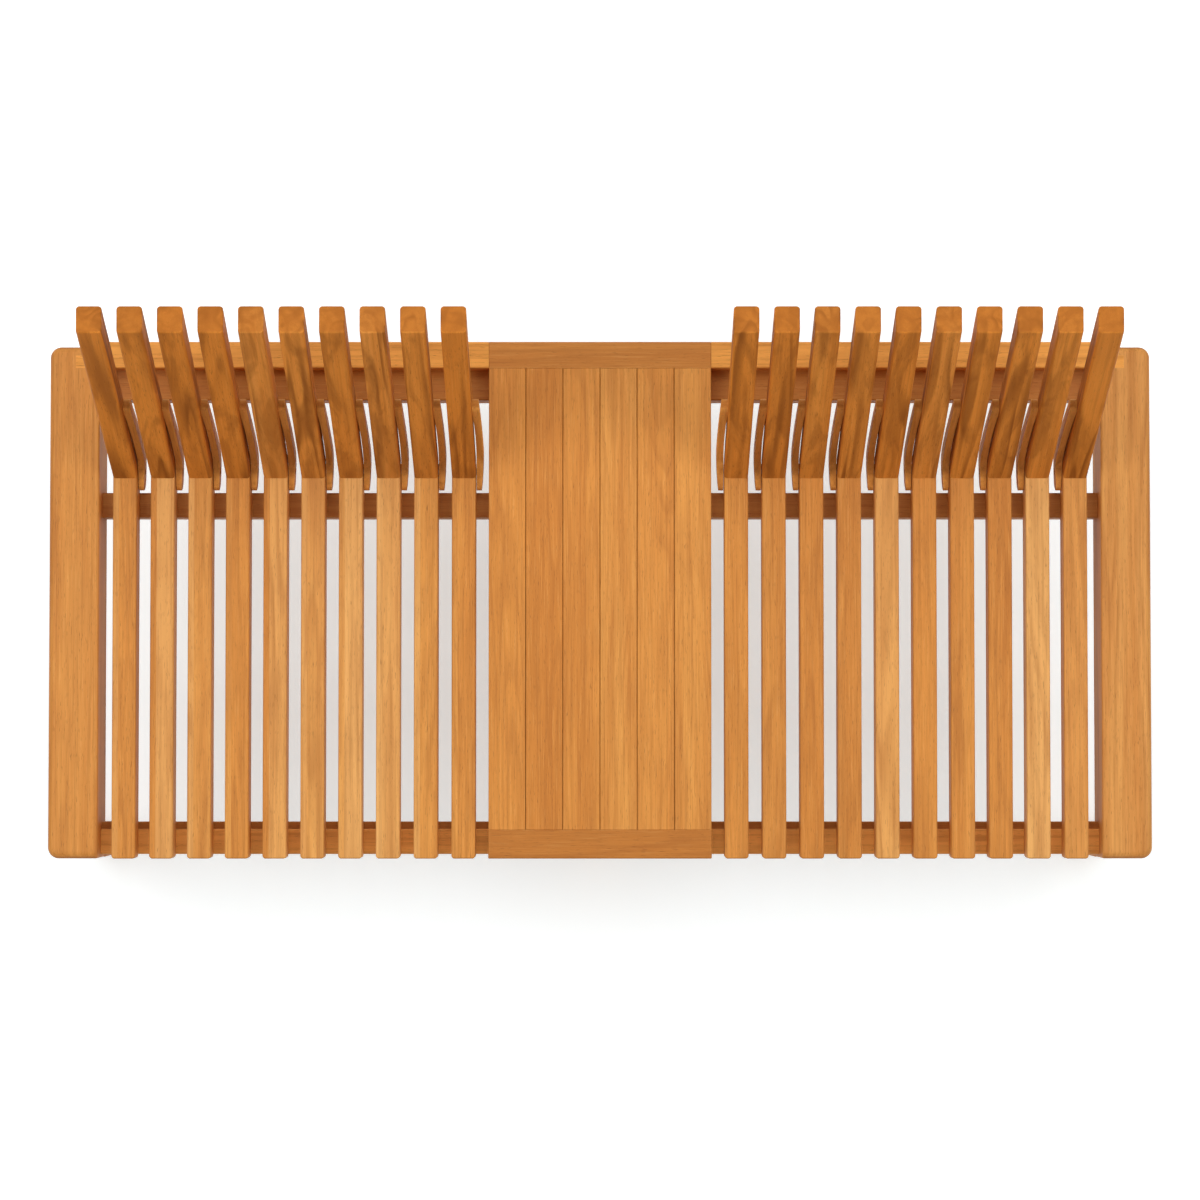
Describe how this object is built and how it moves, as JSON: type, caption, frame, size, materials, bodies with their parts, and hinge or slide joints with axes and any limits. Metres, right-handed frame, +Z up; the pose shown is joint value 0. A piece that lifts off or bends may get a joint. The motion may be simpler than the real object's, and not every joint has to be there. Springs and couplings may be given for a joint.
{
  "type": "convertible bench",
  "caption": "Low slatted teak bench with a solid centre panel and, on each half, leaning back slats on hinged knees that recline towards the flat platform",
  "frame": {"origin": "on the floor, under the centre of the bench's overall box", "axes": "+X to the right along the length as the picture shows it, +Y to the rear, +Z up"},
  "size_m": [1.8, 0.8524, 0.821],
  "materials": {
    "teak_frame": "oiled satin",
    "teak_panel": "oiled satin",
    "teak_slats": "oiled satin",
    "teak_knees": "oiled satin",
    "steel": "brushed"
  },
  "bodies": {
    "frame": {"left_end_beam": "teak_frame", "right_end_beam": "teak_frame", "front_rail": "teak_frame", "front_ledge": "teak_frame", "rear_seat_rail": "teak_frame", "ledger": "teak_frame", "left_rear_rail": "teak_frame", "right_rear_rail": "teak_frame", "front_legs": "teak_frame", "rear_legs": "teak_frame", "centre_legs": "teak_frame", "panel_planks": "teak_panel", "panel_tongues": "teak_panel", "front_end_board": "teak_panel", "rear_end_board": "teak_panel", "panel_cleats": "teak_panel", "left_seat_slats": "teak_slats", "right_seat_slats": "teak_slats", "hinge_pins": "steel", "slat_screws": "steel"},
    "left_back_01": {"left_back_slat_01": "teak_slats", "left_knee_01": "teak_knees"},
    "left_back_02": {"left_back_slat_02": "teak_slats", "left_knee_02": "teak_knees"},
    "left_back_03": {"left_back_slat_03": "teak_slats", "left_knee_03": "teak_knees"},
    "left_back_04": {"left_back_slat_04": "teak_slats", "left_knee_04": "teak_knees"},
    "left_back_05": {"left_back_slat_05": "teak_slats", "left_knee_05": "teak_knees"},
    "left_back_06": {"left_back_slat_06": "teak_slats", "left_knee_06": "teak_knees"},
    "left_back_07": {"left_back_slat_07": "teak_slats", "left_knee_07": "teak_knees"},
    "left_back_08": {"left_back_slat_08": "teak_slats", "left_knee_08": "teak_knees"},
    "left_back_09": {"left_back_slat_09": "teak_slats", "left_knee_09": "teak_knees"},
    "left_back_10": {"left_back_slat_10": "teak_slats", "left_knee_10": "teak_knees"},
    "right_back_01": {"right_back_slat_01": "teak_slats", "right_knee_01": "teak_knees"},
    "right_back_02": {"right_back_slat_02": "teak_slats", "right_knee_02": "teak_knees"},
    "right_back_03": {"right_back_slat_03": "teak_slats", "right_knee_03": "teak_knees"},
    "right_back_04": {"right_back_slat_04": "teak_slats", "right_knee_04": "teak_knees"},
    "right_back_05": {"right_back_slat_05": "teak_slats", "right_knee_05": "teak_knees"},
    "right_back_06": {"right_back_slat_06": "teak_slats", "right_knee_06": "teak_knees"},
    "right_back_07": {"right_back_slat_07": "teak_slats", "right_knee_07": "teak_knees"},
    "right_back_08": {"right_back_slat_08": "teak_slats", "right_knee_08": "teak_knees"},
    "right_back_09": {"right_back_slat_09": "teak_slats", "right_knee_09": "teak_knees"},
    "right_back_10": {"right_back_slat_10": "teak_slats", "right_knee_10": "teak_knees"}
  },
  "joints": [
    {"name": "left_recline_01", "type": "hinge", "parent": "frame", "child": "left_back_01", "pos_m": [-0.776, 0.20654, 0.39], "axis": [-1, 0, 0], "range_deg": [0, 50]},
    {"name": "left_recline_02", "type": "hinge", "parent": "frame", "child": "left_back_02", "pos_m": [-0.7145, 0.20654, 0.39], "axis": [-1, 0, 0], "range_deg": [0, 50]},
    {"name": "left_recline_03", "type": "hinge", "parent": "frame", "child": "left_back_03", "pos_m": [-0.653, 0.20654, 0.39], "axis": [-1, 0, 0], "range_deg": [0, 50]},
    {"name": "left_recline_04", "type": "hinge", "parent": "frame", "child": "left_back_04", "pos_m": [-0.5915, 0.20654, 0.39], "axis": [-1, 0, 0], "range_deg": [0, 50]},
    {"name": "left_recline_05", "type": "hinge", "parent": "frame", "child": "left_back_05", "pos_m": [-0.53, 0.20654, 0.39], "axis": [-1, 0, 0], "range_deg": [0, 50]},
    {"name": "left_recline_06", "type": "hinge", "parent": "frame", "child": "left_back_06", "pos_m": [-0.4685, 0.20654, 0.39], "axis": [-1, 0, 0], "range_deg": [0, 50]},
    {"name": "left_recline_07", "type": "hinge", "parent": "frame", "child": "left_back_07", "pos_m": [-0.407, 0.20654, 0.39], "axis": [-1, 0, 0], "range_deg": [0, 50]},
    {"name": "left_recline_08", "type": "hinge", "parent": "frame", "child": "left_back_08", "pos_m": [-0.3455, 0.20654, 0.39], "axis": [-1, 0, 0], "range_deg": [0, 50]},
    {"name": "left_recline_09", "type": "hinge", "parent": "frame", "child": "left_back_09", "pos_m": [-0.284, 0.20654, 0.39], "axis": [-1, 0, 0], "range_deg": [0, 50]},
    {"name": "left_recline_10", "type": "hinge", "parent": "frame", "child": "left_back_10", "pos_m": [-0.2225, 0.20654, 0.39], "axis": [-1, 0, 0], "range_deg": [0, 50]},
    {"name": "right_recline_01", "type": "hinge", "parent": "frame", "child": "right_back_01", "pos_m": [0.776, 0.20654, 0.39], "axis": [-1, 0, 0], "range_deg": [0, 50]},
    {"name": "right_recline_02", "type": "hinge", "parent": "frame", "child": "right_back_02", "pos_m": [0.7145, 0.20654, 0.39], "axis": [-1, 0, 0], "range_deg": [0, 50]},
    {"name": "right_recline_03", "type": "hinge", "parent": "frame", "child": "right_back_03", "pos_m": [0.653, 0.20654, 0.39], "axis": [-1, 0, 0], "range_deg": [0, 50]},
    {"name": "right_recline_04", "type": "hinge", "parent": "frame", "child": "right_back_04", "pos_m": [0.5915, 0.20654, 0.39], "axis": [-1, 0, 0], "range_deg": [0, 50]},
    {"name": "right_recline_05", "type": "hinge", "parent": "frame", "child": "right_back_05", "pos_m": [0.53, 0.20654, 0.39], "axis": [-1, 0, 0], "range_deg": [0, 50]},
    {"name": "right_recline_06", "type": "hinge", "parent": "frame", "child": "right_back_06", "pos_m": [0.4685, 0.20654, 0.39], "axis": [-1, 0, 0], "range_deg": [0, 50]},
    {"name": "right_recline_07", "type": "hinge", "parent": "frame", "child": "right_back_07", "pos_m": [0.407, 0.20654, 0.39], "axis": [-1, 0, 0], "range_deg": [0, 50]},
    {"name": "right_recline_08", "type": "hinge", "parent": "frame", "child": "right_back_08", "pos_m": [0.3455, 0.20654, 0.39], "axis": [-1, 0, 0], "range_deg": [0, 50]},
    {"name": "right_recline_09", "type": "hinge", "parent": "frame", "child": "right_back_09", "pos_m": [0.284, 0.20654, 0.39], "axis": [-1, 0, 0], "range_deg": [0, 50]},
    {"name": "right_recline_10", "type": "hinge", "parent": "frame", "child": "right_back_10", "pos_m": [0.2225, 0.20654, 0.39], "axis": [-1, 0, 0], "range_deg": [0, 50]}
  ]
}
